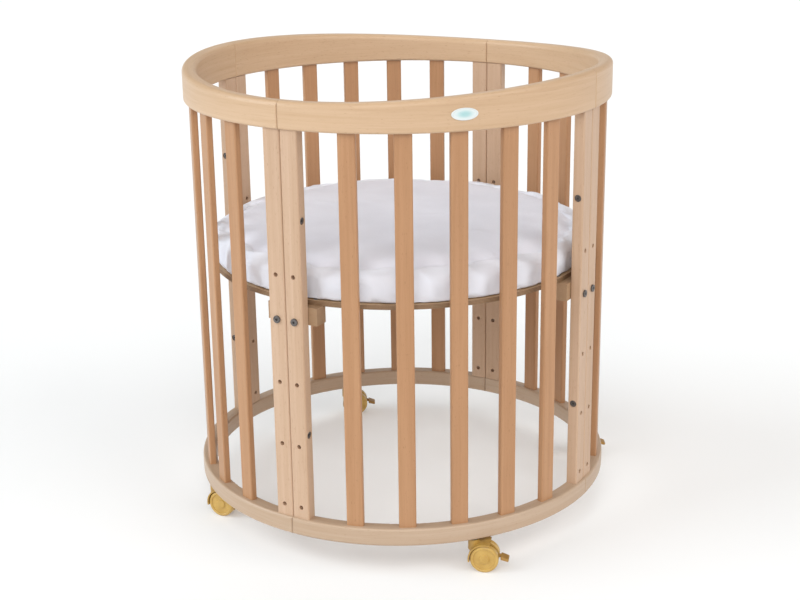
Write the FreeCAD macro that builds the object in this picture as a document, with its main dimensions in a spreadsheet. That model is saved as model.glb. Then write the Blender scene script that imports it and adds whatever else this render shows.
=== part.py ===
# Round convertible crib: four quarter-round beech panels bolted together at
# four seams, two half-round base boards on four cleats, a round mattress and
# four braked twin-wheel castors.  Millimetres, +Z up, origin on the floor
# under the middle of the crib.  The front seam faces -Y.
import FreeCAD, Part
import math
import os
import Sketcher
from FreeCAD import Placement, Rotation, Vector

doc = FreeCAD.newDocument("round_crib")

# ---------------------------------------------------------------- dimensions
sheet = doc.addObject("Spreadsheet::Sheet", "dims")
TABLE = [
    ("rail_radius", 390.0),      # outer radius of both rails
    ("rail_thick", 26.0),        # radial thickness of both rails
    ("low_rail_base", 60.0),     # underside of the bottom rail above the floor
    ("low_rail_tall", 32.0),
    ("top_rail_base", 782.0),    # underside of the top rail
    ("top_rail_low", 46.8),      # height of the top rail at the front and rear seams
    ("top_sweep", 3505.0),       # radius of the long dip along the top edge
    ("top_spare", 30.0),         # stock above the dip before it is cut
    ("top_round", 9.0),          # round-over of the top edges
    ("rail_round", 4.0),         # round-over of the other rail edges
    ("rail_turn", 89.92),        # each rail covers a quarter turn less the seam gap
    ("rail_start", 0.04),
    ("seam_groove", 2.6),        # side of the square that eases the rail ends
    ("post_wide", 33.0),
    ("post_thick", 20.0),
    ("post_in", 365.0),          # inner face of the posts from the crib's axis
    ("post_gap", 0.25),           # half of the seam gap
    ("post_round", 3.0),
    ("tenon_deep", 12.0),        # how far posts and slats go into the rails
    ("tenon_in", 370.0),
    ("tenon_thick", 12.0),
    ("tenon_side", 7.0),
    ("tenon_wide", 19.0),
    ("slat_wide", 30.0),
    ("slat_thick", 12.0),
    ("slat_in", 370.0),
    ("slat_round", 3.0),
    ("slat_pitch", 13.8),        # degrees between slats
    ("level_one", 533.5),        # rows of bolt holes in the posts
    ("level_two", 455.0),
    ("level_three", 341.5),
    ("level_four", 227.5),
    ("level_five", 112.5),
    ("level_hole", 4.0),
    ("level_side", 17.5),        # holes to the seam
    ("join_high", 630.0),        # bolts across each seam
    ("join_low", 249.0),
    ("join_radius", 375.0),
    ("join_hole", 4.0),
    ("join_head", 6.5),
    ("join_sink", 5.0),
    ("join_shank", 3.0),
    ("cleat_long", 98.0),
    ("cleat_deep", 30.0),
    ("cleat_tall", 31.0),
    ("board_base", 477.0),
    ("board_thick", 8.0),
    ("board_radius", 350.5),
    ("board_gap", 0.25),
    ("vent_long", 62.0),
    ("vent_wide", 26.0),
    ("pad_radius", 350.0),
    ("pad_base", 485.3),
    ("pad_thick", 62.7),
    ("pad_round", 20.0),
    ("badge_long", 45.0),
    ("badge_tall", 20.0),
    ("badge_thick", 1.6),
    ("badge_high", 811.0),
    ("castor_ring", 377.0),      # swivel axes from the crib's axis
    ("castor_trail", 20.0),
    ("wheel_radius", 25.0),
    ("wheel_in", 4.6),           # wheels from the castor's middle plane
    ("wheel_out", 17.6),
    ("axle_radius", 3.0),
    ("axle_half", 15.2),
    ("web_half", 4.0),
    ("web_radius", 22.0),
    ("fender_in", 26.2),
    ("fender_out", 28.7),
    ("fender_half", 18.4),
    ("boss_radius", 10.0),
    ("boss_top", 57.4),
    ("stem_base", 46.0),
    ("stem_radius", 4.0),
    ("stem_top", 86.0),
    ("collar_radius", 8.0),
    ("collar_tall", 1.1),
    ("socket_radius", 6.5),
    ("socket_lip", 10.0),
    ("socket_lip_tall", 1.2),
    ("socket_top", 88.0),
    ("run_gap", 0.05),           # running clearance of pins in bores
    ("lever_x", 36.0),
    ("lever_z", 33.0),
    ("lever_pin", 1.5),
    ("lever_half", 9.0),
]
for i, (word, number) in enumerate(TABLE, 1):
    sheet.set("A%d" % i, word)
    sheet.set("B%d" % i, repr(number))
    sheet.setAlias("B%d" % i, word)
doc.recompute()


class Dim:
    """A size that knows both its value and the expression that drives it."""

    def __init__(self, value, text):
        self.v, self.t = float(value), text

    @staticmethod
    def of(other):
        return other if isinstance(other, Dim) else Dim(other, repr(float(other)))

    def __add__(self, o):
        o = Dim.of(o)
        return Dim(self.v + o.v, "(%s + %s)" % (self.t, o.t))

    def __sub__(self, o):
        o = Dim.of(o)
        return Dim(self.v - o.v, "(%s - %s)" % (self.t, o.t))

    def __mul__(self, o):
        o = Dim.of(o)
        return Dim(self.v * o.v, "(%s * %s)" % (self.t, o.t))

    def __neg__(self):
        return Dim(-self.v, "(0 - %s)" % self.t)

    __radd__ = __add__
    __rmul__ = __mul__

    def __rsub__(self, o):
        return Dim.of(o) - self


D = {word: Dim(float(sheet.get(word)), "dims." + word) for word, _ in TABLE}


def bind(obj, prop, size):
    size = Dim.of(size)
    setattr(obj, prop, size.v)
    if "dims." in size.t:
        obj.setExpression(prop, size.t)


# ------------------------------------------------------------------- helpers
def plane(body, role):
    return next(f for f in body.Origin.OriginFeatures if f.Role == role)


def new_body(name):
    return doc.addObject("PartDesign::Body", name)


def sketch(body, name, role, offset=None):
    sk = body.newObject("Sketcher::SketchObject", name)
    sk.AttachmentSupport = [(plane(body, role), "")]
    sk.MapMode = "FlatFace"
    if offset is not None:
        offset = Dim.of(offset)
        sk.AttachmentOffset = Placement(Vector(0, 0, offset.v), Rotation())
        if "dims." in offset.t:
            sk.setExpression("AttachmentOffset.Base.z", offset.t)
    return sk


def pin(sk, geo, pos, x, y, tag):
    """Holds a sketch point at (x, y) from the sketch's origin."""
    x, y = Dim.of(x), Dim.of(y)
    for kind, size, axis in (("DistanceX", x, -2), ("DistanceY", y, -1)):
        if abs(size.v) < 1e-9:
            sk.addConstraint(Sketcher.Constraint("PointOnObject", geo, pos, axis))
            continue
        i = sk.addConstraint(Sketcher.Constraint(kind, -1, 1, geo, pos, size.v))
        name = "%s%s" % (tag, kind[-1].lower())
        sk.renameConstraint(i, name)
        if "dims." in size.t:
            sk.setExpression("Constraints." + name, size.t)


def polygon(sk, points):
    pts = [(Dim.of(x), Dim.of(y)) for x, y in points]
    first = sk.GeometryCount
    n = len(pts)
    for k in range(n):
        a, b = pts[k], pts[(k + 1) % n]
        sk.addGeometry(Part.LineSegment(Vector(a[0].v, a[1].v, 0), Vector(b[0].v, b[1].v, 0)), False)
    for k in range(n):
        sk.addConstraint(Sketcher.Constraint("Coincident", first + k, 2, first + (k + 1) % n, 1))
    for k in range(n):
        pin(sk, first + k, 1, pts[k][0], pts[k][1], "p%d" % (first + k))
    return sk


def rectangle(sk, x, y, w, tall):
    x, y, w, tall = (Dim.of(q) for q in (x, y, w, tall))
    return polygon(sk, [(x, y), (x + w, y), (x + w, y + tall), (x, y + tall)])


def circle(sk, x, y, r):
    x, y, r = Dim.of(x), Dim.of(y), Dim.of(r)
    g = sk.addGeometry(Part.Circle(Vector(x.v, y.v, 0), Vector(0, 0, 1), r.v), False)
    i = sk.addConstraint(Sketcher.Constraint("Radius", g, r.v))
    sk.renameConstraint(i, "r%d" % g)
    if "dims." in r.t:
        sk.setExpression("Constraints.r%d" % g, r.t)
    pin(sk, g, 3, x, y, "c%d" % g)
    return sk


def pad(body, sk, length, mid=False, reverse=False):
    f = body.newObject("PartDesign::Pad", "Pad_" + sk.Name)
    f.Profile = sk
    bind(f, "Length", length)
    if mid:
        f.SideType = "Symmetric"
    f.Reversed = reverse
    return f


def pocket(body, sk, length=None, mid=False, reverse=False):
    f = body.newObject("PartDesign::Pocket", "Pocket_" + sk.Name)
    f.Profile = sk
    if length is None:
        f.Type = "ThroughAll"
    else:
        bind(f, "Length", length)
    if mid:
        f.SideType = "Symmetric"
    f.Reversed = reverse
    return f


def revolve(body, sk, axis, angle):
    f = body.newObject("PartDesign::Revolution", "Turn_" + sk.Name)
    f.Profile = sk
    f.ReferenceAxis = (sk, [axis])
    bind(f, "Angle", angle)
    return f


def soften(body, base, radius, pick):
    """Fillets the edges of base that pick() accepts."""
    doc.recompute()
    names = ["Edge%d" % (k + 1) for k, e in enumerate(base.Shape.Edges) if pick(e)]
    f = body.newObject("PartDesign::Fillet", "Round_" + base.Name)
    f.Base = (base, names)
    bind(f, "Radius", radius)
    doc.recompute()
    return f


def cylinder(name, r, length, base, axis="z", turn=0.0, sector=None):
    o = doc.addObject("Part::Cylinder", name)
    bind(o, "Radius", r)
    bind(o, "Height", length)
    if sector is not None:
        o.Angle = sector
    rot = {"z": Rotation(), "y": Rotation(Vector(1, 0, 0), -90), "x": Rotation(Vector(0, 1, 0), 90)}[axis]
    o.Placement = Placement(base, rot.multiply(Rotation(Vector(0, 0, 1), turn)))
    return o


def cut(name, base, *tools):
    o = doc.addObject("Part::Cut", name)
    o.Base = base
    o.Tool = tools[0] if len(tools) == 1 else group(name + "_tools", tools)
    return o


def fuse(name, *shapes):
    o = doc.addObject("Part::MultiFuse", name)
    o.Shapes = list(shapes)
    o.Refine = True
    return o


def group(name, shapes):
    o = doc.addObject("Part::Compound", name)
    o.Links = list(shapes)
    return o


def turned(obj, degrees, at=None):
    """Turns a finished object about the crib's axis, after moving it to at."""
    z = Rotation(Vector(0, 0, 1), degrees)
    obj.Placement = Placement(at or Vector(), z)
    return obj


SUBPARTS = []


def subpart(obj, label):
    obj.Label = label
    SUBPARTS.append(obj)
    return obj


def vertical(e):
    v = e.Vertexes
    return len(v) == 2 and abs(v[0].X - v[1].X) < 1e-6 and abs(v[0].Y - v[1].Y) < 1e-6


QUARTERS = [("front_right", -90.0, "a"), ("rear_right", 0.0, "b"), ("rear_left", 90.0, "a"), ("front_left", 180.0, "b")]
SEAMS = [("front", -90.0, "left", "right"), ("right", 0.0, "front", "rear"), ("rear", 90.0, "right", "left"), ("left", 180.0, "rear", "front")]

inner = D["rail_radius"] - D["rail_thick"]
slat_base = D["low_rail_base"] + D["low_rail_tall"] - D["tenon_deep"]
slat_tall = D["top_rail_base"] + D["tenon_deep"] - slat_base
post_base = D["low_rail_base"] + D["low_rail_tall"]
post_tall = D["top_rail_base"] - post_base

# --------------------------------------------------------------------- slats
slats = {}
for quarter, start, _ in QUARTERS:
    made = []
    for k in range(-2, 3):
        body = new_body("slat_%s_%d" % (quarter, k + 3))
        sk = sketch(body, body.Name + "_section", "XY_Plane", slat_base)
        rectangle(sk, D["slat_in"], -0.5 * D["slat_wide"], D["slat_thick"], D["slat_wide"])
        p = pad(body, sk, slat_tall)
        soften(body, p, D["slat_round"], vertical)
        turned(body, start + 45.0 + k * D["slat_pitch"].v)
        made.append(body)
    slats[quarter] = made
    subpart(group("slats_" + quarter, made), "slats_" + quarter)

# --------------------------------------------------------------------- posts
posts = {}
for seam, turn, minus, plus in SEAMS:
    for side, word in ((-1, minus), (1, plus)):
        label = "post_%s_seam_%s" % (seam, word)
        body = new_body(label)
        low = D["post_gap"] if side > 0 else -D["post_gap"] - D["post_wide"]
        sk = sketch(body, label + "_section", "XY_Plane", post_base)
        rectangle(sk, D["post_in"], low, D["post_thick"], D["post_wide"])
        p = pad(body, sk, post_tall)
        p = soften(body, p, D["post_round"], vertical)
        # tenons at both ends, one core through the post
        tl = D["post_gap"] + D["tenon_side"] if side > 0 else -D["post_gap"] - D["tenon_side"] - D["tenon_wide"]
        sk = sketch(body, label + "_tenon", "XY_Plane", slat_base)
        rectangle(sk, D["tenon_in"], tl, D["tenon_thick"], D["tenon_wide"])
        pad(body, sk, slat_tall)
        # radial rows of holes for the base cleats
        sk = sketch(body, label + "_levels", "YZ_Plane")
        for row in ("one", "two", "three", "four", "five"):
            circle(sk, side * D["level_side"], D["level_" + row], D["level_hole"])
        pocket(body, sk, mid=True)
        # holes across the seam, sunk at the slat side
        sk = sketch(body, label + "_joins", "XZ_Plane")
        for row in ("join_high", "join_low"):
            circle(sk, D["join_radius"], D[row], D["join_hole"])
        pocket(body, sk, mid=True)
        edge = D["post_gap"] + D["post_wide"]
        # the XZ plane's normal is -Y
        sk = sketch(body, label + "_sinks", "XZ_Plane", -edge if side > 0 else edge)
        for row in ("join_high", "join_low"):
            circle(sk, D["join_radius"], D[row], D["join_head"])
        pocket(body, sk, D["join_sink"], reverse=side > 0)
        doc.recompute()
        turned(body, turn)
        posts[label] = body
        subpart(body, label)

quarter_posts = {
    "front_right": ("post_front_seam_right", "post_right_seam_front"),
    "rear_right": ("post_right_seam_rear", "post_rear_seam_right"),
    "rear_left": ("post_rear_seam_left", "post_left_seam_rear"),
    "front_left": ("post_left_seam_front", "post_front_seam_left"),
}

# ------------------------------------------------- sockets for the castor stems
TRAILS = {"front_right": 20.0, "rear_right": 30.0, "rear_left": 32.0, "front_left": 5.0}
castor_at = {}
bores, sleeves = {}, []
for quarter, start, _ in QUARTERS:
    a = math.radians(start + 49.0)
    r = D["castor_ring"].v
    at = Vector(r * math.cos(a), r * math.sin(a), 0)
    castor_at[quarter] = at
    z0 = D["low_rail_base"]
    tube = cylinder("socket_tube_" + quarter, D["socket_radius"], D["socket_top"] - z0, at + Vector(0, 0, z0.v))
    lip = cylinder("socket_lip_" + quarter, D["socket_lip"], D["socket_lip_tall"], at + Vector(0, 0, z0.v - D["socket_lip_tall"].v))
    way = cylinder("socket_way_" + quarter, D["stem_radius"] + D["run_gap"], 28.0, at + Vector(0, 0, z0.v - 2.0))
    sleeves.append(cut("socket_" + quarter, fuse("socket_blank_" + quarter, tube, lip), way))
    bores[quarter] = tube
subpart(group("castor_sockets", sleeves), "castor_sockets")

# --------------------------------------------------------------------- rails
def rail_edges(*radii):
    def pick(e):
        c = e.Curve
        if not hasattr(c, "Radius") or abs(c.Axis.z) < 0.9:
            return False
        return any(abs(c.Radius - r) < 1e-3 for r in radii)
    return pick


def seam_grooves(tag, start, base, tall):
    """Slim upright prisms, corner on, that ease both ends of a rail inside and out."""
    made = []
    side = D["seam_groove"]
    for k, turn in enumerate((start, start + 90.0)):
        for word, radius in (("out", D["rail_radius"]), ("in", inner)):
            box = doc.addObject("Part::Box", "groove_%s_%s_%d" % (tag, word, k))
            bind(box, "Length", side)
            bind(box, "Width", side)
            bind(box, "Height", tall + 2.0)
            spin = Rotation(Vector(0, 0, 1), turn + 45.0)
            at = Rotation(Vector(0, 0, 1), turn).multVec(Vector(radius.v, 0, base.v - 1.0))
            box.Placement = Placement(at - spin.multVec(Vector(0.5 * side.v, 0.5 * side.v, 0)), spin)
            made.append(box)
    return made


for quarter, start, kind in QUARTERS:
    tube = bores[quarter]
    tools = slats[quarter] + [posts[n] for n in quarter_posts[quarter]]
    # bottom rail: a plain turned section, all four edges eased
    body = new_body("low_ring_" + quarter)
    sk = sketch(body, body.Name + "_section", "XZ_Plane")
    rectangle(sk, inner, D["low_rail_base"], D["rail_thick"], D["low_rail_tall"])
    p = revolve(body, sk, "V_Axis", D["rail_turn"])
    soften(body, p, D["rail_round"], rail_edges(D["rail_radius"].v, inner.v))
    turned(body, start + D["rail_start"].v)
    subpart(cut("bottom_rail_" + quarter, body, *(tools + [tube] + seam_grooves("low_" + quarter, start, D["low_rail_base"], D["low_rail_tall"]))), "bottom_rail_" + quarter)

    # top rail: the same section, its top edge cut to a long dip that is
    # lowest at the front and rear seams
    body = new_body("top_ring_" + quarter)
    sk = sketch(body, body.Name + "_section", "XZ_Plane")
    rectangle(sk, inner, D["top_rail_base"], D["rail_thick"], D["top_rail_low"] + D["top_spare"])
    p = revolve(body, sk, "V_Axis", D["rail_turn"])
    p = soften(body, p, D["rail_round"], lambda e: rail_edges(D["rail_radius"].v, inner.v)(e) and e.CenterOfMass.z < D["top_rail_base"].v + 1)
    turned(body, start + D["rail_start"].v)
    dip = cylinder("dip_" + quarter, D["top_sweep"], 1000.0, Vector(0, -500, D["top_rail_base"].v + D["top_rail_low"].v + D["top_sweep"].v), "y")
    stock = cut("top_stock_" + quarter, body, dip)
    doc.recompute()
    low = D["top_rail_base"].v + D["top_rail_low"].v - 1.0
    chosen = []
    for k, e in enumerate(stock.Shape.Edges):
        zs = [v.Z for v in e.Vertexes]
        mid = e.valueAt(0.5 * (e.FirstParameter + e.LastParameter))
        rad = math.hypot(mid.x, mid.y)
        if min(zs) > low and mid.z > low and e.Length > 300 and (abs(rad - D["rail_radius"].v) < 0.5 or abs(rad - inner.v) < 0.5):
            chosen.append((k + 1, D["top_round"].v, D["top_round"].v))
    eased = doc.addObject("Part::Fillet", "top_eased_" + quarter)
    eased.Base = stock
    eased.Edges = chosen
    doc.recompute()
    grooves = seam_grooves("top_" + quarter, start, D["top_rail_base"], D["top_rail_low"] + D["top_spare"])
    subpart(cut("top_rail_" + quarter, eased, *(tools + grooves)), "top_rail_" + quarter)

# ------------------------------------------- bolts and sleeve nuts of the seams
hex_r = 2.5


def socket_head(name, at, axis, depth=2.4):
    o = doc.addObject("Part::Prism", name)
    o.Polygon = 6
    o.Circumradius = hex_r
    o.Height = depth
    rot = {"y": Rotation(Vector(1, 0, 0), -90), "x": Rotation(Vector(0, 1, 0), 90)}[axis]
    o.Placement = Placement(at, rot)
    return o


bolts, nuts = [], []
for seam, turn, _, _ in SEAMS:
    for row in ("join_high", "join_low"):
        tag = "%s_%s" % (seam, row)
        z, x = D[row].v, D["join_radius"].v
        edge = D["post_gap"] + D["post_wide"]
        head_at = edge.v - D["join_sink"].v
        head = cylinder("join_cap_" + tag, D["join_head"] - 0.3, 3.5, Vector(x, head_at, z), "y")
        shank = cylinder("join_rod_" + tag, D["join_shank"], 50.0, Vector(x, head_at - 50.0, z), "y")
        bolt = cut("join_bolt_" + tag, fuse("join_blank_" + tag, head, shank), socket_head("join_hex_" + tag, Vector(x, head_at + 1.2, z), "y"))
        turned(bolt, turn)
        bolts.append(bolt)
        cap = cylinder("nut_cap_" + tag, D["join_head"] - 0.3, 3.5, Vector(x, -head_at - 3.5, z), "y")
        sleeve = cylinder("nut_sleeve_" + tag, D["join_hole"], 18.0, Vector(x, -head_at, z), "y")
        # the blind bore that takes the rod
        bore = cylinder("nut_bore_" + tag, D["join_shank"], 60.0, Vector(x, -head_at + 0.5, z), "y")
        hexa = socket_head("nut_hex_" + tag, Vector(x, -head_at - 3.5, z), "y")
        nut = cut("join_nut_" + tag, fuse("nut_blank_" + tag, cap, sleeve), bore, hexa)
        turned(nut, turn)
        nuts.append(nut)
subpart(group("seam_bolts", bolts), "seam_bolts")
subpart(group("seam_sleeve_nuts", nuts), "seam_sleeve_nuts")

# ---------------------------------- cleats, their bolts and inserts, base screws
cleat_bolts, inserts, screws, screw_tools = [], [], [], []
for seam, turn, _, _ in SEAMS:
    z = D["level_two"].v
    face = D["post_in"]
    body = new_body("cleat_" + seam)
    sk = sketch(body, body.Name + "_section", "XY_Plane", D["board_base"] - D["cleat_tall"])
    rectangle(sk, face - D["cleat_deep"], -0.5 * D["cleat_long"], D["cleat_deep"], D["cleat_long"])
    p = pad(body, sk, D["cleat_tall"])
    soften(body, p, D["rail_round"], lambda e: vertical(e) and e.CenterOfMass.x < face.v - 1)
    turned(body, turn)
    tools = []
    for side in (-1, 1):
        tag = "%s_%s" % (seam, "minus" if side < 0 else "plus")
        y = side * D["level_side"].v
        out = D["post_in"] + D["post_thick"]
        cap = cylinder("cleat_cap_" + tag, 6.5, 2.8, Vector(out.v, y, z), "x")
        rod = cylinder("cleat_rod_" + tag, D["join_shank"], 36.0, Vector(out.v - 36.0, y, z), "x")
        bolt = cut("cleat_bolt_" + tag, fuse("cleat_blank_" + tag, cap, rod), socket_head("cleat_hex_" + tag, Vector(out.v + 0.6, y, z), "x"))
        turned(bolt, turn)
        cleat_bolts.append(bolt)
        shell = cylinder("insert_shell_" + tag, 5.0, 14.0, Vector(face.v - 14.0, y, z), "x")
        core = cylinder("insert_core_" + tag, D["join_shank"], 14.0, Vector(face.v - 14.0, y, z), "x")
        insert = cut("insert_" + tag, shell, core)
        turned(insert, turn)
        inserts.append(insert)
        hole = cylinder("insert_hole_" + tag, 5.0, 14.0, Vector(face.v - 14.0, y, z), "x")
        tip = cylinder("insert_tip_" + tag, 3.5, 8.0, Vector(face.v - 22.0, y, z), "x")
        sink = fuse("insert_sink_" + tag, hole, tip)
        turned(sink, turn)
        tools.append(sink)
        # countersunk screw down through the base board into the cleat
        top = D["board_base"] + D["board_thick"]
        sx, sy = face.v - 24.5, side * 32.0
        cone = doc.addObject("Part::Cone", "screw_cone_" + tag)
        cone.Radius1, cone.Radius2, cone.Height = 2.0, 4.2, 3.0
        cone.Placement = Placement(Vector(sx, sy, top.v - 3.0), Rotation())
        rod = cylinder("screw_rod_" + tag, 2.0, 28.0, Vector(sx, sy, top.v - 31.0))
        screw = fuse("screw_" + tag, cone, rod)
        turned(screw, turn)
        screws.append(screw)
        tools.append(screw)
    subpart(cut("base_cleat_" + seam, body, *tools), "base_cleat_" + seam)
subpart(group("cleat_bolts", cleat_bolts), "cleat_bolts")
subpart(group("cleat_inserts", inserts), "cleat_inserts")
subpart(group("base_screws", screws), "base_screws")

# --------------------------------------------------------------- base boards
for side, start in (("right", -90.0), ("left", 90.0)):
    body = new_body("board_" + side)
    sk = sketch(body, body.Name + "_outline", "XY_Plane", D["board_base"])
    r = D["board_radius"]
    g = D["board_gap"].v
    half = math.acos(g / r.v)
    arc = sk.addGeometry(Part.ArcOfCircle(Part.Circle(Vector(0, 0, 0), Vector(0, 0, 1), r.v), -half, half), False)
    line = sk.addGeometry(Part.LineSegment(Vector(g, r.v * math.sin(half), 0), Vector(g, -r.v * math.sin(half), 0)), False)
    sk.addConstraint(Sketcher.Constraint("Coincident", arc, 3, -1, 1))
    sk.addConstraint(Sketcher.Constraint("Coincident", arc, 2, line, 1))
    sk.addConstraint(Sketcher.Constraint("Coincident", line, 2, arc, 1))
    sk.addConstraint(Sketcher.Constraint("Vertical", line))
    i = sk.addConstraint(Sketcher.Constraint("Radius", arc, r.v))
    sk.renameConstraint(i, "outline")
    sk.setExpression("Constraints.outline", r.t)
    i = sk.addConstraint(Sketcher.Constraint("DistanceX", -1, 1, line, 1, g))
    sk.renameConstraint(i, "parting")
    sk.setExpression("Constraints.parting", D["board_gap"].t)
    pad(body, sk, D["board_thick"])
    # rounded air slots through the board
    sk = sketch(body, body.Name + "_vents", "XY_Plane")
    hl, hw = 0.5 * (D["vent_long"].v - D["vent_wide"].v), 0.5 * D["vent_wide"].v
    for x, y in ((75.0, 215.0), (75.0, 75.0), (75.0, -75.0), (75.0, -215.0), (205.0, 135.0), (205.0, 0.0), (205.0, -135.0)):
        a1 = sk.addGeometry(Part.ArcOfCircle(Part.Circle(Vector(x + hl, y, 0), Vector(0, 0, 1), hw), -math.pi / 2, math.pi / 2), False)
        l1 = sk.addGeometry(Part.LineSegment(Vector(x + hl, y + hw, 0), Vector(x - hl, y + hw, 0)), False)
        a2 = sk.addGeometry(Part.ArcOfCircle(Part.Circle(Vector(x - hl, y, 0), Vector(0, 0, 1), hw), math.pi / 2, 3 * math.pi / 2), False)
        l2 = sk.addGeometry(Part.LineSegment(Vector(x - hl, y - hw, 0), Vector(x + hl, y - hw, 0)), False)
    pocket(body, sk, mid=True)
    turned(body, 0.0 if side == "right" else 180.0)
    doc.recompute()
    mine = [s for s in screws if (s.Shape.BoundBox.Center.x > 0) == (side == "right")]
    subpart(cut("base_board_" + side, body, *mine), "base_board_" + side)

# ------------------------------------------------------------------ mattress
body = new_body("mattress")
sk = sketch(body, "mattress_outline", "XY_Plane", D["pad_base"])
circle(sk, 0, 0, D["pad_radius"])
p = pad(body, sk, D["pad_thick"])
soften(body, p, D["pad_round"], lambda e: hasattr(e.Curve, "Radius"))
subpart(body, "mattress")

# --------------------------------------------- blank oval plate on the top rail
ring_out = cylinder("badge_outer", D["rail_radius"] + D["badge_thick"], 60.0, Vector(0, 0, D["badge_high"].v - 30.0))
ring_in = cylinder("badge_inner", D["rail_radius"], 60.0, Vector(0, 0, D["badge_high"].v - 30.0))
shell = cut("badge_shell", ring_out, ring_in)
oval = doc.addObject("Part::Ellipse", "badge_oval")
bind(oval, "MajorRadius", 0.5 * D["badge_long"])
bind(oval, "MinorRadius", 0.5 * D["badge_tall"])
prism = doc.addObject("Part::Extrusion", "badge_prism")
prism.Base = oval
prism.DirMode = "Custom"
prism.Dir = Vector(0, 0, 1)
prism.LengthFwd = 60.0
prism.Solid = True
# the oval's long axis lies along the rail, its normal points out of the rail
face_out = math.radians(-45.0 + 0.8)
out = Vector(math.cos(face_out), math.sin(face_out), 0)
along = Vector(-math.sin(face_out), math.cos(face_out), 0)
m = FreeCAD.Matrix(along.x, 0, out.x, out.x * 360, along.y, 0, out.y, out.y * 360, 0, 1, 0, D["badge_high"].v, 0, 0, 0, 1)
oval.Placement = Placement(m)
prism.Dir = out
badge = doc.addObject("Part::Common", "badge_plate")
badge.Base, badge.Tool = shell, prism
subpart(badge, "badge_plate")

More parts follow.
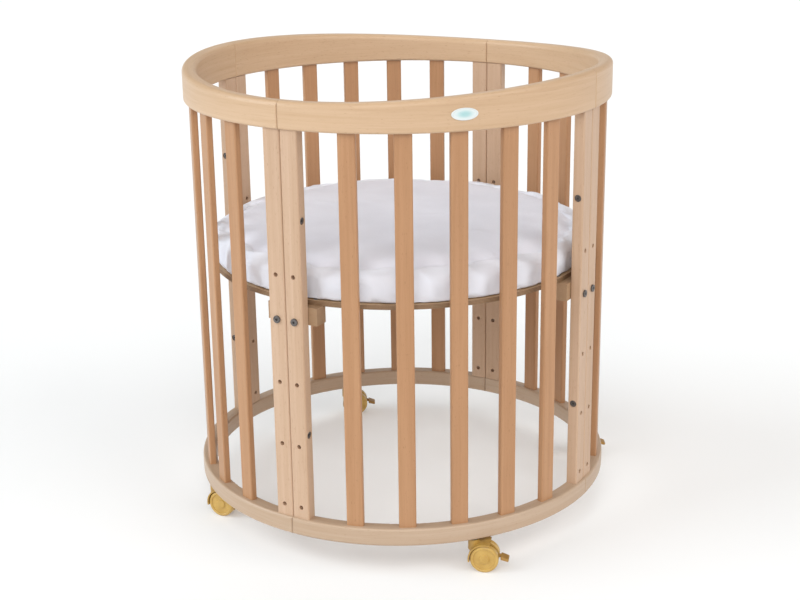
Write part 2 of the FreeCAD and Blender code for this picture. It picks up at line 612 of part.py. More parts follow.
# ------------------------------------------------------------------- castors
# each one is drawn with its swivel axis on Z, trailing along +X, axle along Y
for quarter, start, _ in QUARTERS:
    at, turn = castor_at[quarter], TRAILS[quarter]
    tr, wr = D["castor_trail"].v, D["wheel_radius"].v

    # hood: web between the wheels, boss round the stem, arch over the wheels
    web = cylinder("web_" + quarter, D["web_radius"], 2 * D["web_half"], Vector(tr, -D["web_half"].v, wr), "y")
    neck = doc.addObject("Part::Box", "neck_" + quarter)
    neck.Length, neck.Height = 26.0, 24.0
    bind(neck, "Width", 2 * D["web_half"])
    neck.Placement = Placement(Vector(-7.0, -D["web_half"].v, 29.0), Rotation())
    boss_full = cylinder("boss_full_" + quarter, D["boss_radius"], D["boss_top"] - 38.0, Vector(0, 0, 38.0))
    room = cylinder("boss_room_" + quarter, D["fender_in"], 60.0, Vector(tr, -30.0, wr), "y")
    boss = cut("boss_" + quarter, boss_full, room)
    # the arch's sector starts at +X and turns towards -Z
    band = cylinder("band_" + quarter, D["fender_out"], 2 * D["fender_half"], Vector(tr, -D["fender_half"].v, wr), "y", 168.0, 122.0)
    hollow = cylinder("hollow_" + quarter, D["fender_in"], 60.0, Vector(tr, -30.0, wr), "y")
    fender = cut("fender_" + quarter, band, hollow)
    blank = fuse("hood_blank_" + quarter, web, neck, boss, fender)
    stem_hole = cylinder("hood_stem_hole_" + quarter, D["stem_radius"], D["boss_top"] - D["stem_base"], Vector(0, 0, D["stem_base"].v))
    slot = doc.addObject("Part::Box", "hood_slot_" + quarter)
    slot.Length, slot.Width, slot.Height = 30.0, 4.6, 70.0
    slot.Placement = Placement(Vector(28.0, -2.3, -5.0), Rotation())
    eye = cylinder("hood_eye_" + quarter, D["lever_pin"] + D["run_gap"], 30.0, Vector(D["lever_x"].v, -15.0, D["lever_z"].v), "y")
    hole = cylinder("hood_axle_hole_" + quarter, D["axle_radius"], 30.0, Vector(tr, -15.0, wr), "y")
    hood = cut("castor_hood_" + quarter, blank, stem_hole, slot, eye, hole)
    subpart(turned(hood, turn, at), "castor_hood_" + quarter)

    spin = Rotation(Vector(0, 0, 1), turn)
    axle = cylinder("axle_" + quarter, D["axle_radius"], 2 * D["axle_half"], Vector(), "y")
    axle.Placement = Placement(at + spin.multVec(Vector(tr, -D["axle_half"].v, wr)), spin.multiply(Rotation(Vector(1, 0, 0), -90)))
    subpart(axle, "castor_axle_" + quarter)

    rod = cylinder("stem_rod_" + quarter, D["stem_radius"], D["stem_top"] - D["stem_base"], at + Vector(0, 0, D["stem_base"].v))
    collar = cylinder("stem_collar_" + quarter, D["collar_radius"], D["collar_tall"], at + Vector(0, 0, D["boss_top"].v))
    subpart(fuse("stem_" + quarter, rod, collar), "castor_stem_" + quarter)

    for word, flip in (("near", -1.0), ("far", 1.0)):
        body = new_body("wheel_%s_%s" % (word, quarter))
        sk = sketch(body, body.Name + "_section", "XZ_Plane")
        b = D["axle_radius"] + D["run_gap"]
        r, i, o = D["wheel_radius"], D["wheel_in"], D["wheel_out"]
        polygon(sk, [(b, i), (r - 1.5, i), (r, i + 1.5), (r, o - 3.0), (r - 0.8, o - 1.2), (r - 2.6, o - 0.2), (r - 4.6, o),
                     (r - 5.4, o - 0.5), (r - 6.4, o - 2.0), (9.4, o - 2.0), (8.2, o - 0.4), (6.5, o), (0, o + 0.2), (0, o - 1.8), (b, o - 1.8)])
        revolve(body, sk, "V_Axis", 360.0)
        rot = Rotation(Vector(1, 0, 0), -90) if flip > 0 else Rotation(Vector(1, 0, 0), 90)
        body.Placement = Placement(at + spin.multVec(Vector(tr, 0, wr)), spin.multiply(rot))
        subpart(body, "castor_wheel_%s_%s" % (word, quarter))

    # brake lever: tongue between the wheels, wide pedal behind them, cross pin
    body = new_body("lever_" + quarter)
    lx, lz = D["lever_x"], D["lever_z"]
    sk = sketch(body, body.Name + "_tongue", "XZ_Plane")
    polygon(sk, [(lx - 3.0, lz + 1.4), (lx - 3.0, lz - 2.0), (lx - 1.0, lz - 3.4), (lx + 8.0, lz - 7.6), (lx + 14.0, lz - 9.4), (lx + 15.0, lz - 4.6),
                 (lx + 9.0, lz - 2.6), (lx + 2.6, lz + 2.2), (lx + 1.0, lz + 3.0), (lx - 1.4, lz + 3.0)])
    pad(body, sk, 4.0, mid=True)
    sk = sketch(body, body.Name + "_pedal", "XZ_Plane")
    polygon(sk, [(lx + 12.0, lz - 9.6), (lx + 13.0, lz - 10.6), (lx + 24.6, lz - 13.4), (lx + 26.0, lz - 12.2), (lx + 26.2, lz - 9.6),
                 (lx + 25.0, lz - 8.2), (lx + 13.0, lz - 4.0), (lx + 12.0, lz - 4.8)])
    p = pad(body, sk, 2 * D["lever_half"], mid=True)
    p = soften(body, p, 0.8, lambda e: abs(abs(e.CenterOfMass.y) - D["lever_half"].v) < 1e-4)
    sk = sketch(body, body.Name + "_pin", "XZ_Plane")
    circle(sk, lx, lz, D["lever_pin"])
    pad(body, sk, 7.8, mid=True)
    doc.recompute()
    subpart(turned(body, turn, at), "castor_brake_lever_" + quarter)

# -------------------------------------------------------------- check, export
doc.recompute()
bad = [o.Name for o in doc.Objects if "Invalid" in o.State or "Error" in o.State]
for o in SUBPARTS:
    s = o.Shape
    if s.isNull() or not s.isValid() or not s.Solids or any(q.Volume <= 0 for q in s.Solids):
        bad.append(o.Label)
if bad:
    raise RuntimeError("failed: %s" % bad)
os.makedirs("parts", exist_ok=True)
for o in SUBPARTS:
    o.Shape.exportStep("parts/%s.step" % o.Label)
    b = o.Shape.BoundBox
    print("%-34s solids %d volume %.0f  z %.1f..%.1f  r %.1f" % (o.Label, len(o.Shape.Solids), o.Shape.Volume, b.ZMin, b.ZMax, max(abs(b.XMin), abs(b.XMax), abs(b.YMin), abs(b.YMax))))
print(len(SUBPARTS), "sub-parts")
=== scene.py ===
import math
import random

import bmesh
import bpy
from mathutils import Matrix, Vector, noise


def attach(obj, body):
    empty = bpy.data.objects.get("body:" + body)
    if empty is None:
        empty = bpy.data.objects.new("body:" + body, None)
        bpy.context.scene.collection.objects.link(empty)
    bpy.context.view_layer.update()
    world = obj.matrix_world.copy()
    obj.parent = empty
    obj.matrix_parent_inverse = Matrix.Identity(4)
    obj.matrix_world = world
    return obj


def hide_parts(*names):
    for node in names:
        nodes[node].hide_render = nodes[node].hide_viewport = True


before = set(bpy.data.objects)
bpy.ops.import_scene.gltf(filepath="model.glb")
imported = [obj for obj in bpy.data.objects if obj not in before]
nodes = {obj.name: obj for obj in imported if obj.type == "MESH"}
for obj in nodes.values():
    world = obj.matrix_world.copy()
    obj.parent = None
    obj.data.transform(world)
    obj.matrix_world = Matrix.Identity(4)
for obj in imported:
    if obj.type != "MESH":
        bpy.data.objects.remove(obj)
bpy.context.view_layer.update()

scene = bpy.context.scene
random.seed(4)


# ------------------------------------------------------------------ node tools
class Tree:
    """A small helper for building a material's nodes."""

    def __init__(self, name):
        self.mat = bpy.data.materials.new(name)
        self.mat.use_nodes = True
        self.t = self.mat.node_tree
        self.t.nodes.clear()
        self.out = self.t.nodes.new("ShaderNodeOutputMaterial")
        self.bsdf = self.t.nodes.new("ShaderNodeBsdfPrincipled")
        self.t.links.new(self.bsdf.outputs[0], self.out.inputs[0])

    def new(self, kind, **props):
        n = self.t.nodes.new(kind)
        for k, v in props.items():
            setattr(n, k, v)
        return n

    def put(self, value, socket):
        if isinstance(value, bpy.types.NodeSocket):
            self.t.links.new(value, socket)
        else:
            socket.default_value = value

    def math(self, op, a, b=0.0, clamp=False):
        n = self.new("ShaderNodeMath", operation=op, use_clamp=clamp)
        self.put(a, n.inputs[0])
        self.put(b, n.inputs[1])
        return n.outputs[0]

    def mix(self, f, a, b, mode="MIX"):
        n = self.new("ShaderNodeMix", data_type="RGBA", blend_type=mode)
        self.put(f, n.inputs[0])
        for v, s in ((a, n.inputs[6]), (b, n.inputs[7])):
            if isinstance(v, (tuple, list)):
                v = (*v, 1.0) if len(v) == 3 else v
            self.put(v, s)
        return n.outputs[2]

    def xyz(self, vector):
        n = self.new("ShaderNodeSeparateXYZ")
        self.put(vector, n.inputs[0])
        return n.outputs

    def vec(self, x, y, z):
        n = self.new("ShaderNodeCombineXYZ")
        for v, s in zip((x, y, z), n.inputs):
            self.put(v, s)
        return n.outputs[0]

    def noise(self, vector, scale=1.0, detail=2.0, rough=0.5, warp=0.0):
        n = self.new("ShaderNodeTexNoise")
        self.put(vector, n.inputs["Vector"])
        n.inputs["Scale"].default_value = scale
        n.inputs["Detail"].default_value = detail
        n.inputs["Roughness"].default_value = rough
        n.inputs["Distortion"].default_value = warp
        return n.outputs["Fac"]

    def ramp(self, f, low, high, a=0.0, b=1.0):
        n = self.new("ShaderNodeMapRange", interpolation_type="SMOOTHSTEP")
        self.put(f, n.inputs[0])
        for v, s in zip((low, high, a, b), n.inputs[1:5]):
            s.default_value = v
        return n.outputs[0]

    def object_xyz(self):
        return self.xyz(self.new("ShaderNodeTexCoord").outputs["Object"])

    def bump(self, height, strength, distance):
        n = self.new("ShaderNodeBump")
        n.inputs["Strength"].default_value = strength
        n.inputs["Distance"].default_value = distance
        self.put(height, n.inputs["Height"])
        self.t.links.new(n.outputs[0], self.bsdf.inputs["Normal"])

    def set(self, **values):
        for k, v in values.items():
            socket = self.bsdf.inputs[k.replace("_", " ")]
            if isinstance(v, (tuple, list)) and len(v) == 3 and socket.type == "RGBA":
                v = (*v, 1.0)
            self.put(v, socket)
        return self.mat


def wood(name, light, dark, fleck, grain, pitch, seed, gloss=0.44, coat=0.12):
    """Lacquered beech.  grain "z" runs up a post or slat, "arc" along a rail,
    "flat" across a board; pitch is the angle that one plank takes up."""
    t = Tree(name)
    x, y, z = t.object_xyz()
    ang = t.math("ARCTAN2", y, x)
    rad = t.math("SQRT", t.math("ADD", t.math("MULTIPLY", x, x), t.math("MULTIPLY", y, y)))
    run = t.math("MULTIPLY", ang, 0.377)
    plank = t.math("FLOOR", t.math("ADD", t.math("DIVIDE", ang, math.radians(pitch)), 50.5 if grain == "z" else 50.0))
    if grain == "flat":
        plank = t.math("GREATER_THAN", x, 0.0)
    w = t.new("ShaderNodeTexWhiteNoise", noise_dimensions="1D")
    t.put(t.math("ADD", plank, seed), w.inputs["W"])
    shift = t.math("MULTIPLY", w.outputs["Value"], 37.0)
    if grain == "z":
        along, across, deep = z, run, rad
    elif grain == "arc":
        along, across, deep = run, z, rad
    else:
        along, across, deep = y, x, z

    def stretched(a, c):
        return t.vec(t.math("ADD", t.math("MULTIPLY", across, c), shift), t.math("MULTIPLY", deep, c), t.math("ADD", t.math("MULTIPLY", along, a), shift))

    broad = t.noise(stretched(1.6, 16.0), 1.0, 3.0, 0.5, 0.4)
    streak = t.noise(stretched(3.0, 120.0), 1.0, 5.0, 0.62, 0.6)
    fine = t.noise(stretched(16.0, 620.0), 1.0, 3.0, 0.6)
    dash = t.noise(stretched(120.0, 900.0), 1.0, 1.0, 0.4)
    tone = t.math("ADD", t.math("MULTIPLY", t.ramp(broad, 0.32, 0.70), 0.45), t.math("MULTIPLY", t.ramp(streak, 0.34, 0.70), 0.55))
    colour = t.mix(tone, light, dark)
    # each plank has its own depth of colour
    own = t.ramp(w.outputs["Value"], 0.0, 1.0, 0.0, 0.30)
    colour = t.mix(own, colour, dark)
    colour = t.mix(t.ramp(fine, 0.50, 0.80, 0.0, 0.30), colour, fleck)
    colour = t.mix(t.ramp(dash, 0.66, 0.76, 0.0, 0.55), colour, fleck)
    rough = t.math("ADD", t.math("MULTIPLY", streak, 0.14), gloss - 0.06)
    t.bump(t.math("ADD", t.math("MULTIPLY", fine, 0.6), t.math("MULTIPLY", t.ramp(dash, 0.62, 0.78, 0.0, 1.0), -0.4)), 0.22, 0.0004)
    return t.set(Base_Color=colour, Roughness=rough, Coat_Weight=coat, Coat_Roughness=0.28, Specular_IOR_Level=0.42)


def plywood(name, light, dark, edge):
    """Sanded board with veneer layers showing at its rim; the rim's dark browns are painted shadow of the mattress that
    overhangs it.
    """
    t = Tree(name)
    x, y, z = t.object_xyz()
    layer = t.math("SINE", t.math("MULTIPLY", z, 2 * math.pi / 0.0024))
    normal = t.xyz(t.new("ShaderNodeNewGeometry").outputs["True Normal"])
    side = t.ramp(t.math("ABSOLUTE", normal[2]), 0.3, 0.6, 1.0, 0.0)
    grain = t.noise(t.vec(t.math("MULTIPLY", x, 70.0), t.math("MULTIPLY", y, 3.0), z), 1.0, 5.0, 0.6, 0.5)
    fine = t.noise(t.vec(t.math("MULTIPLY", x, 600.0), t.math("MULTIPLY", y, 25.0), z), 1.0, 2.0, 0.6)
    face = t.mix(t.ramp(grain, 0.3, 0.72), light, dark)
    # painted shadow: the board's rim is mixed from two dark browns for the shade under the overhanging mattress; the
    # stripes between them are the veneer layers
    rim = t.mix(t.ramp(layer, -0.2, 0.2), edge, [0.72 * v for v in dark])
    colour = t.mix(side, face, rim)
    colour = t.mix(t.ramp(fine, 0.55, 0.8, 0.0, 0.3), colour, dark)
    t.bump(fine, 0.2, 0.0004)
    return t.set(Base_Color=colour, Roughness=t.math("ADD", t.math("MULTIPLY", grain, 0.15), 0.5), Specular_IOR_Level=0.35)


def plastic(name, colour, dark, rough, coat, grain=900.0, depth=0.12):
    """Moulded plastic: faint clouding, fine mould texture, a little scuffing."""
    t = Tree(name)
    x, y, z = t.object_xyz()
    p = t.vec(x, y, z)
    cloud = t.noise(p, 60.0, 3.0, 0.5)
    skin = t.noise(p, grain, 2.0, 0.6)
    scuff = t.noise(p, 240.0, 4.0, 0.7, 1.5)
    c = t.mix(t.ramp(cloud, 0.3, 0.7), colour, dark)
    c = t.mix(t.ramp(scuff, 0.62, 0.8, 0.0, 0.18), c, (0.78, 0.70, 0.52))
    t.bump(skin, depth, 0.0003)
    r = t.math("ADD", t.math("MULTIPLY", scuff, 0.22), rough - 0.08)
    return t.set(Base_Color=c, Roughness=r, Coat_Weight=coat, Coat_Roughness=0.2, Specular_IOR_Level=0.5)


def metal(name, colour, dark, rough, metallic=1.0):
    """Plated steel with turning marks and dull patches."""
    t = Tree(name)
    x, y, z = t.object_xyz()
    p = t.vec(x, y, z)
    patch = t.noise(p, 380.0, 4.0, 0.65)
    marks = t.noise(p, 2600.0, 2.0, 0.5)
    c = t.mix(t.ramp(patch, 0.35, 0.7), colour, dark)
    t.bump(marks, 0.15, 0.0002)
    r = t.math("ADD", t.math("MULTIPLY", patch, 0.25), rough - 0.1)
    return t.set(Base_Color=c, Roughness=r, Metallic=metallic)


def cover_cloth(name, base, shade, border, weave=0.00115):
    """Fine plain-weave cotton: crossing yarns, slubs and a soft sheen; a whiter border band, painted light for the side
    catching more light than the top.
    """
    t = Tree(name)
    x, y, z = t.object_xyz()
    p = t.vec(x, y, z)
    k = 2 * math.pi / weave
    wob = t.math("MULTIPLY", t.noise(p, 90.0, 2.0, 0.5), 0.0012)
    # on the top the yarns run with X and Y; on the border with the height and the way round
    normal = t.xyz(t.new("ShaderNodeNewGeometry").outputs["True Normal"])
    wall = t.ramp(t.math("ABSOLUTE", normal[2]), 0.35, 0.75, 1.0, 0.0)
    run = t.math("MULTIPLY", t.math("ARCTAN2", y, x), 0.345)

    def yarn(q):
        return t.math("MULTIPLY", t.math("ADD", t.math("SINE", t.math("MULTIPLY", t.math("ADD", q, wob), k)), 1.0), 0.5)

    flat = t.math("MAXIMUM", t.math("MULTIPLY", yarn(x), t.math("SUBTRACT", 1.0, yarn(t.math("ADD", y, weave / 4)))), t.math("MULTIPLY", yarn(y), t.math("SUBTRACT", 1.0, yarn(t.math("ADD", x, weave / 4)))))
    up = t.math("MAXIMUM", t.math("MULTIPLY", yarn(run), t.math("SUBTRACT", 1.0, yarn(t.math("ADD", z, weave / 4)))), t.math("MULTIPLY", yarn(z), t.math("SUBTRACT", 1.0, yarn(t.math("ADD", run, weave / 4)))))
    m = t.new("ShaderNodeMix", data_type="FLOAT")
    t.put(wall, m.inputs[0]); t.put(flat, m.inputs[2]); t.put(up, m.inputs[3])
    weft = m.outputs[0]
    slub = t.noise(t.vec(t.math("MULTIPLY", x, 30.0), t.math("MULTIPLY", y, 420.0), z), 1.0, 3.0, 0.6)
    cloud = t.noise(p, 9.0, 3.0, 0.5)
    crease = t.noise(p, 34.0, 5.0, 0.6, 0.8)
    c = t.mix(t.ramp(cloud, 0.3, 0.72), base, shade)
    rad = t.math("SQRT", t.math("ADD", t.math("MULTIPLY", x, x), t.math("MULTIPLY", y, y)))
    # painted light: the border band round the side gets a slightly whiter colour than the top panel, for the side being
    # lit more than the top
    c = t.mix(t.ramp(rad, 0.312, 0.328), c, border)
    # painted shade: the gaps between the crossing yarns are darkened
    c = t.mix(t.ramp(weft, 0.0, 0.8, 0.22, 0.0), c, [0.72 * v for v in shade])
    c = t.mix(t.ramp(slub, 0.62, 0.85, 0.0, 0.25), c, [min(1.0, 1.1 * v) for v in base])
    h = t.math("ADD", t.math("MULTIPLY", weft, 0.25), t.math("MULTIPLY", crease, 1.6))
    t.bump(h, 0.35, 0.0012)
    return t.set(Base_Color=c, Roughness=0.86, Sheen_Weight=0.22, Sheen_Roughness=0.45, Specular_IOR_Level=0.2)


def badge(name, centre, out, along):
    """Blank oval plate: white, with a pale aqua wash inside the rim."""
    t = Tree(name)
    x, y, z = t.object_xyz()
    u = t.math("ADD", t.math("MULTIPLY", t.math("SUBTRACT", x, centre[0]), along[0]), t.math("MULTIPLY", t.math("SUBTRACT", y, centre[1]), along[1]))
    v = t.math("SUBTRACT", z, centre[2])
    eu, ev = t.math("DIVIDE", u, 0.0225), t.math("DIVIDE", v, 0.0100)
    r = t.math("SQRT", t.math("ADD", t.math("MULTIPLY", eu, eu), t.math("MULTIPLY", ev, ev)))
    p = t.vec(x, y, z)
    wash = t.ramp(r, 0.15, 0.85, 0.85, 0.0)
    c = t.mix(wash, (0.66, 0.715, 0.715), (0.30, 0.545, 0.555))
    c = t.mix(t.ramp(r, 0.80, 0.86, 0.0, 0.35), c, (0.54, 0.60, 0.61))
    c = t.mix(t.ramp(r, 0.90, 0.95, 0.0, 0.9), c, (0.70, 0.74, 0.74))
    t.bump(t.math("ADD", t.math("MULTIPLY", t.ramp(r, 0.78, 0.88), 1.0), t.math("MULTIPLY", t.noise(p, 1500.0, 2.0), 0.05)), 0.5, 0.0006)
    return t.set(Base_Color=c, Roughness=t.math("ADD", t.math("MULTIPLY", t.noise(p, 300.0, 3.0), 0.15), 0.22), Coat_Weight=0.4, Coat_Roughness=0.12)


# ------------------------------------------------------------------- materials
RAIL = wood("beech_rail_grain", (0.578, 0.398, 0.254), (0.500, 0.325, 0.189), (0.363, 0.209, 0.107), "arc", 90.0, 3.0)
# bottom rail: its own paler, pinker beech, also set darker as painted shade for the low part near the floor
LOW = wood("beech_low_rail_grain_painted_shade", (0.494, 0.367, 0.265), (0.426, 0.293, 0.194), (0.332, 0.206, 0.118), "arc", 90.0, 19.0)
POST = wood("beech_post_grain", (0.546, 0.373, 0.257), (0.473, 0.306, 0.194), (0.337, 0.194, 0.106), "z", 5.0, 7.0)
SLAT = wood("beech_slat_grain", (0.461, 0.248, 0.125), (0.379, 0.190, 0.087), (0.269, 0.127, 0.056), "z", 13.8, 11.0)
# cleat beech: partly its own tone, partly painted shade, set darker for the shadow it sits in under the base board
CLEAT = wood("beech_cleat_grain_painted_shade", (0.400, 0.262, 0.156), (0.335, 0.205, 0.114), (0.280, 0.160, 0.085), "arc", 90.0, 23.0, 0.55, 0.0)
# the board's third colour, a dark brown, is painted shadow on its rim under the mattress
BOARD = plywood("base_plywood", (0.480, 0.330, 0.200), (0.400, 0.255, 0.145), (0.190, 0.108, 0.056))
ZINC = metal("zinc_plate", (0.56, 0.57, 0.60), (0.36, 0.37, 0.40), 0.34)
DARK = metal("bronzed_steel", (0.170, 0.155, 0.148), (0.090, 0.082, 0.080), 0.40, 0.7)
BRASS = metal("turned_brass", (0.66, 0.46, 0.17), (0.48, 0.31, 0.10), 0.35)
SOCKET = plastic("socket_nylon", (0.060, 0.052, 0.045), (0.035, 0.030, 0.027), 0.5, 0.0)
HOOD = plastic("castor_hood_moulding", (0.450, 0.270, 0.060), (0.370, 0.208, 0.042), 0.36, 0.2)
WHEEL = plastic("castor_wheel_moulding", (0.540, 0.340, 0.084), (0.460, 0.275, 0.060), 0.38, 0.2)
LEVER = plastic("castor_lever_moulding", (0.380, 0.205, 0.040), (0.290, 0.150, 0.028), 0.4, 0.15)

CHOICE = [("top_rail_", RAIL), ("bottom_rail_", LOW), ("post_", POST), ("slats_", SLAT), ("base_cleat_", CLEAT), ("base_board_", BOARD),
          ("seam_", DARK), ("cleat_bolts", DARK), ("cleat_inserts", BRASS), ("base_screws", ZINC), ("castor_sockets", SOCKET), ("castor_axle_", ZINC),
          ("castor_stem_", ZINC), ("castor_hood_", HOOD), ("castor_wheel_", WHEEL), ("castor_brake_lever_", LEVER)]


def paint(obj, mat):
    if not obj.material_slots:
        obj.data.materials.append(mat)
    for s in obj.material_slots:
        s.material = mat


for name, obj in nodes.items():
    for start, mat in CHOICE:
        if name.startswith(start):
            paint(obj, mat)
            break
a = math.radians(-45.0 + 0.8)
paint(nodes["badge_plate"], badge("badge_enamel", (0.3908 * math.cos(a), 0.3908 * math.sin(a), 0.811), (math.cos(a), math.sin(a)), (-math.sin(a), math.cos(a))))

# -------------------------------------------------------------------- mattress
# A foam disc in a sewn cotton cover: flat base, puffed and gathered border, a
# sewn groove round the top panel.  Built in rings, inflated as cloth, then kept
# inside the space that the crib leaves.
BASE, TOP, R_SEAM, R_LOW, R_SIDE, R_MOST = 0.4856, 0.5455, 0.3165, 0.3410, 0.3475, 0.3520
TURN = 480
N_TOP, N_SIDE, N_LOW = 32, 22, 10

# where the gathers of the border pull in: plan angle, width and depth
gathers = []
at = 0.0
while at < 348.0:
    gathers.append((math.radians(at), math.radians(random.uniform(2.6, 4.6)), random.uniform(0.25, 1.0)))
    at += random.uniform(12.0, 21.0)


def gather(q):
    """0 on a puff of the border, up to 1 in the bottom of a gather."""
    total = 0.0
    for c, w, depth in gathers:
        d = abs((q - c + math.pi) % (2 * math.pi) - math.pi)
        total += depth * math.exp(-(d / w) ** 2)
    return min(1.0, total)


def sway(q):
    """Slow wander of the sewn groove round the top panel."""
    return 0.0034 * math.sin(2 * q + 0.7) + 0.0028 * math.sin(5 * q + 2.1) + 0.0018 * math.sin(11 * q + 4.0)


def smooth(f):
    f = max(0.0, min(1.0, f))
    return f * f * (3.0 - 2.0 * f)


def through(points, f):
    """Point at f (0 to 1) of a smooth curve through the points."""
    n = len(points) - 1
    i = min(int(f * n), n - 1)
    t = f * n - i
    p = [points[max(0, min(n, i + k))] for k in (-1, 0, 1, 2)]
    return tuple(0.5 * (2 * p[1][c] + (p[2][c] - p[0][c]) * t + (2 * p[0][c] - 5 * p[1][c] + 4 * p[2][c] - p[3][c]) * t * t
                        + (3 * p[1][c] - p[0][c] - 3 * p[2][c] + p[3][c]) * t ** 3) for c in (0, 1))


def pad_rings(q):
    """(radius, height, hold) down one spoke, from the middle of the top to the middle of the base."""
    g = gather(q)
    seam = R_SEAM + sway(q) + 0.0085 * (g - 0.35)
    sink = 0.0085 + 0.0025 * g
    rings = []
    for i in range(1, N_TOP + 1):
        f = (i / N_TOP) ** 0.84
        z = TOP + 0.0010 - 0.0030 * f * f - sink * smooth((f - 0.88) / 0.12) ** 1.5 - 0.0014 * g * smooth((f - 0.70) / 0.30)
        rings.append((seam * f, z, 1.0 if i == N_TOP else 0.0))
    side = R_SIDE - 0.0026 * g
    last = rings[-1]
    line = [(last[0], last[1]), (seam + 0.0050, TOP - 0.0055 - 0.0030 * g), (seam + 0.0125, TOP - 0.0020 - 0.0030 * g),
            (side - 0.0080, TOP - 0.0065 - 0.0022 * g), (side - 0.0022, TOP - 0.0165), (side, TOP - 0.0300),
            (side - 0.0002, BASE + 0.0160), (side - 0.0026, BASE + 0.0060), (R_LOW, BASE + 0.0008)]
    for i in range(1, N_SIDE + 1):
        r, z = through(line, i / (N_SIDE + 1.0))
        rings.append((r, z, 0.0))
    rings.append((R_LOW, BASE + 0.0008, 1.0))
    for i in range(1, N_LOW + 1):
        rings.append((R_LOW * (1.0 - i / (N_LOW + 1.0)), BASE, 1.0))
    return rings


# long soft folds where the loose cover lies on the foam: middle, way, half length, width, rise
folds = []
for _ in range(15):
    q, r = random.uniform(0, 2 * math.pi), 0.30 * math.sqrt(random.random())
    folds.append((r * math.cos(q), r * math.sin(q), random.uniform(0, math.pi), random.uniform(0.05, 0.15), random.uniform(0.009, 0.016), random.uniform(0.0008, 0.0020)))


def crease(x, y):
    """Height of the folds at a point of the top panel."""
    z = 0.0
    for cx, cy, way, half, wide, rise in folds:
        u = (x - cx) * math.cos(way) + (y - cy) * math.sin(way)
        v = -(x - cx) * math.sin(way) + (y - cy) * math.cos(way) + 0.8 * u * u
        if abs(u) < half:
            z += rise * (1.0 - (u / half) ** 2) ** 2 * math.exp(-(v / wide) ** 2)
    return z


def make_pad():
    bm = bmesh.new()
    hold = {}
    middle, under = bm.verts.new((0, 0, TOP)), bm.verts.new((0, 0, BASE))
    hold[middle], hold[under] = 0.0, 1.0
    spokes = []
    for k in range(TURN):
        q = 2 * math.pi * k / TURN
        spoke = []
        for r, z, h in pad_rings(q):
            v = bm.verts.new((r * math.cos(q), r * math.sin(q), z))
            hold[v] = h
            spoke.append(v)
        spokes.append(spoke)
    for k in range(TURN):
        a, b = spokes[k], spokes[(k + 1) % TURN]
        bm.faces.new((middle, a[0], b[0]))
        for i in range(len(a) - 1):
            bm.faces.new((a[i], a[i + 1], b[i + 1], b[i]))
        bm.faces.new((under, b[-1], a[-1]))
    bm.verts.index_update()
    weights = [0.0] * len(bm.verts)
    for v, h in hold.items():
        weights[v.index] = h
    me = bpy.data.meshes.new("mattress_soft")
    bm.to_mesh(me)
    bm.free()
    o = bpy.data.objects.new("mattress_soft", me)
    scene.collection.objects.link(o)
    g = o.vertex_groups.new(name="held")
    for i, h in enumerate(weights):
        if h > 0:
            g.add([i], h, "REPLACE")
    return o


def inflate(o, steps=20):
    m = o.modifiers.new("cover", "CLOTH")
    s = m.settings
    s.quality = 5
    s.mass = 0.25
    s.tension_stiffness = s.compression_stiffness = 16.0
    s.shear_stiffness = 7.0
    s.bending_stiffness = 0.25
    s.use_pressure = True
    s.uniform_pressure_force = 4.0
    s.vertex_group_mass = "held"
    s.shrink_min = -0.05
    s.effector_weights.gravity = 0.0
    m.collision_settings.use_collision = False
    m.collision_settings.use_self_collision = False
    m.point_cache.frame_start = 1
    m.point_cache.frame_end = steps
    for f in range(1, steps + 1):
        scene.frame_set(f)
    dg = bpy.context.evaluated_depsgraph_get()
    moved = [v.co.copy() for v in o.evaluated_get(dg).data.vertices]
    o.modifiers.remove(m)
    scene.frame_set(1)
    return moved


mattress = make_pad()
start = [v.co.copy() for v in mattress.data.vertices]
moved = inflate(mattress)
for v, a, b in zip(mattress.data.vertices, start, moved):
    d = b - a
    q, r = math.atan2(a.y, a.x), math.hypot(a.x, a.y)
    # the foam under the cover lets it move only so far
    most = 0.0035 + 0.0030 * smooth((r - R_SEAM + 0.02) / 0.02)
    if d.length > 1e-7:
        d = d * (most * math.tanh(d.length / most) / d.length)
    p = a + d
    # slack of the cover on the top panel: long soft creases that run in from the groove
    if a.z > TOP - 0.016 and r < R_SEAM + 0.004:
        edge = smooth((r - 0.20) / 0.10)
        fade = smooth((R_SEAM - 0.004 - r) / 0.02)
        n = noise.noise(Vector((math.cos(q) * 7.0, math.sin(q) * 7.0, r * 16.0)))
        f = noise.noise(Vector((a.x * 24.0, a.y * 24.0, 5.1)))
        m = noise.noise(Vector((a.x * 7.5, a.y * 7.5, 3.7)))
        p.z += (edge * 0.0013 * n + 0.0006 * f + 0.0022 * m + crease(a.x, a.y)) * (0.35 + 0.65 * fade)
    r = math.hypot(p.x, p.y)
    if r > R_MOST:
        p.x *= R_MOST / r
        p.y *= R_MOST / r
    p.z = min(max(p.z, BASE - 0.0001), 0.5530)
    v.co = p


def ease(o, rounds=2):
    """Takes the sharpest nips out of the cover, as the wadding under it does."""
    count = N_TOP + N_SIDE + 1 + N_LOW

    def spot(k, i):
        return 2 + (k % TURN) * count + i

    co = [v.co.copy() for v in o.data.vertices]
    for _ in range(rounds):
        new = [c.copy() for c in co]
        for k in range(TURN):
            for i in range(1, N_TOP + N_SIDE):
                mean = 0.25 * (co[spot(k - 1, i)] + co[spot(k + 1, i)] + co[spot(k, i - 1)] + co[spot(k, i + 1)])
                new[spot(k, i)] = co[spot(k, i)].lerp(mean, 0.5)
        co = new
    for v, c in zip(o.data.vertices, co):
        v.co = c


ease(mattress)
for f in mattress.data.polygons:
    f.use_smooth = True
# the third colour is the border band, set whiter as painted light on the side
mattress.data.materials.append(cover_cloth("mattress_cotton", (0.812, 0.812, 0.890), (0.758, 0.757, 0.834), (0.790, 0.800, 0.866)))
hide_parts("mattress")
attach(mattress, "mattress")

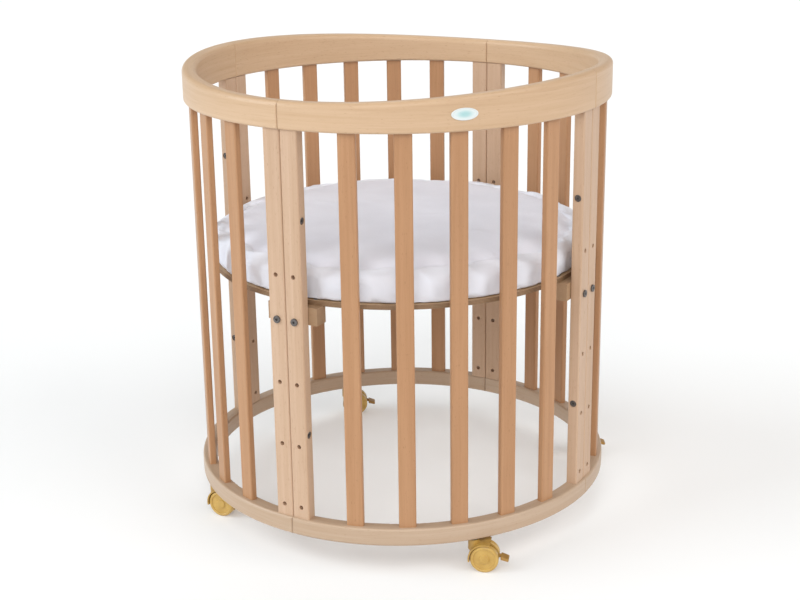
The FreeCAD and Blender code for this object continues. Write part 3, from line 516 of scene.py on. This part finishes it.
# ---------------------------------------------------------- floor, light, camera
me = bpy.data.meshes.new("studio_floor")
me.from_pydata([(-30, -30, 0), (30, -30, 0), (30, 30, 0), (-30, 30, 0)], [], [(0, 1, 2, 3)])
floor = bpy.data.objects.new("studio_floor", me)
floor.location = (0, 0, -0.0003)
scene.collection.objects.link(floor)
t = Tree("studio_floor_paint")
x, y, z = t.object_xyz()
c = t.mix(t.ramp(t.noise(t.vec(x, y, z), 0.6, 2.0), 0.3, 0.7), (0.73, 0.73, 0.73), (0.71, 0.71, 0.71))
floor.data.materials.append(t.set(Base_Color=c, Roughness=0.85, Specular_IOR_Level=0.1, Emission_Color=(1.0, 1.0, 1.0), Emission_Strength=0.22))

world = bpy.data.worlds.new("studio")
scene.world = world
world.use_nodes = True
world.node_tree.nodes["Background"].inputs[0].default_value = (1.0, 1.0, 1.0, 1.0)
# a pale band low down all round, like a lit studio wall, and a dimmer ceiling
wt = world.node_tree
way = wt.nodes.new("ShaderNodeTexCoord")
part = wt.nodes.new("ShaderNodeSeparateXYZ")
band = wt.nodes.new("ShaderNodeMapRange")
band.interpolation_type = "SMOOTHSTEP"
for v, socket in zip((0.09, 0.26, 0.97, 0.20), band.inputs[1:5]):
    socket.default_value = v
wt.links.new(way.outputs["Generated"], part.inputs[0])
wt.links.new(part.outputs[2], band.inputs[0])
wt.links.new(band.outputs[0], wt.nodes["Background"].inputs[1])


def lamp(name, plan, rise, power, spread, colour):
    """A broad far light from plan angle and height angle, in degrees."""
    d = bpy.data.lights.new(name, "SUN")
    d.energy, d.angle, d.color = power, math.radians(spread), colour
    o = bpy.data.objects.new(name, d)
    p, e = math.radians(plan), math.radians(rise)
    way = Vector((math.cos(p) * math.cos(e), math.sin(p) * math.cos(e), math.sin(e)))
    o.location = 4.0 * way
    o.rotation_euler = (-way).to_track_quat("-Z", "Y").to_euler()
    scene.collection.objects.link(o)
    return o


lamp("left", -140.0, 28.0, 2.00, 45.0, (0.85, 0.945, 1.0))
lamp("front", -66.0, 40.0, 1.55, 45.0, (1.0, 0.99, 0.97))
lamp("right", 0.0, 36.0, 1.22, 45.0, (1.0, 0.985, 0.96))
lamp("rear", 115.0, 48.0, 0.50, 45.0, (1.0, 0.985, 0.96))

F, D, H, PITCH, AZ, ROLL, K, SHIFT = 574.409, 2.615955, 1.244462, math.radians(16.935), math.radians(30.087), math.radians(-0.785), 2.5, 13.84
right0 = Vector((math.cos(AZ), math.sin(AZ), 0))
fwd = Vector((-math.sin(AZ) * math.cos(PITCH), math.cos(AZ) * math.cos(PITCH), -math.sin(PITCH)))
up0 = right0.cross(fwd)
right = right0 * math.cos(ROLL) + up0 * math.sin(ROLL)
up = -right0 * math.sin(ROLL) + up0 * math.cos(ROLL)
cam = bpy.data.objects.new("camera", bpy.data.cameras.new("camera"))
scene.collection.objects.link(cam)
m = Matrix((right, up, -fwd)).transposed().to_4x4()
m.translation = (D * math.sin(AZ), -D * math.cos(AZ), H)
cam.matrix_world = m
cam.data.sensor_fit = "HORIZONTAL"
cam.data.sensor_width = 36.0
cam.data.lens = 36.0 * F * K / 800.0
cam.data.shift_y = -K * SHIFT / 800.0
cam.data.clip_end = 200.0
scene.camera = cam
scene.view_settings.view_transform = "Standard"

bpy.context.view_layer.update()
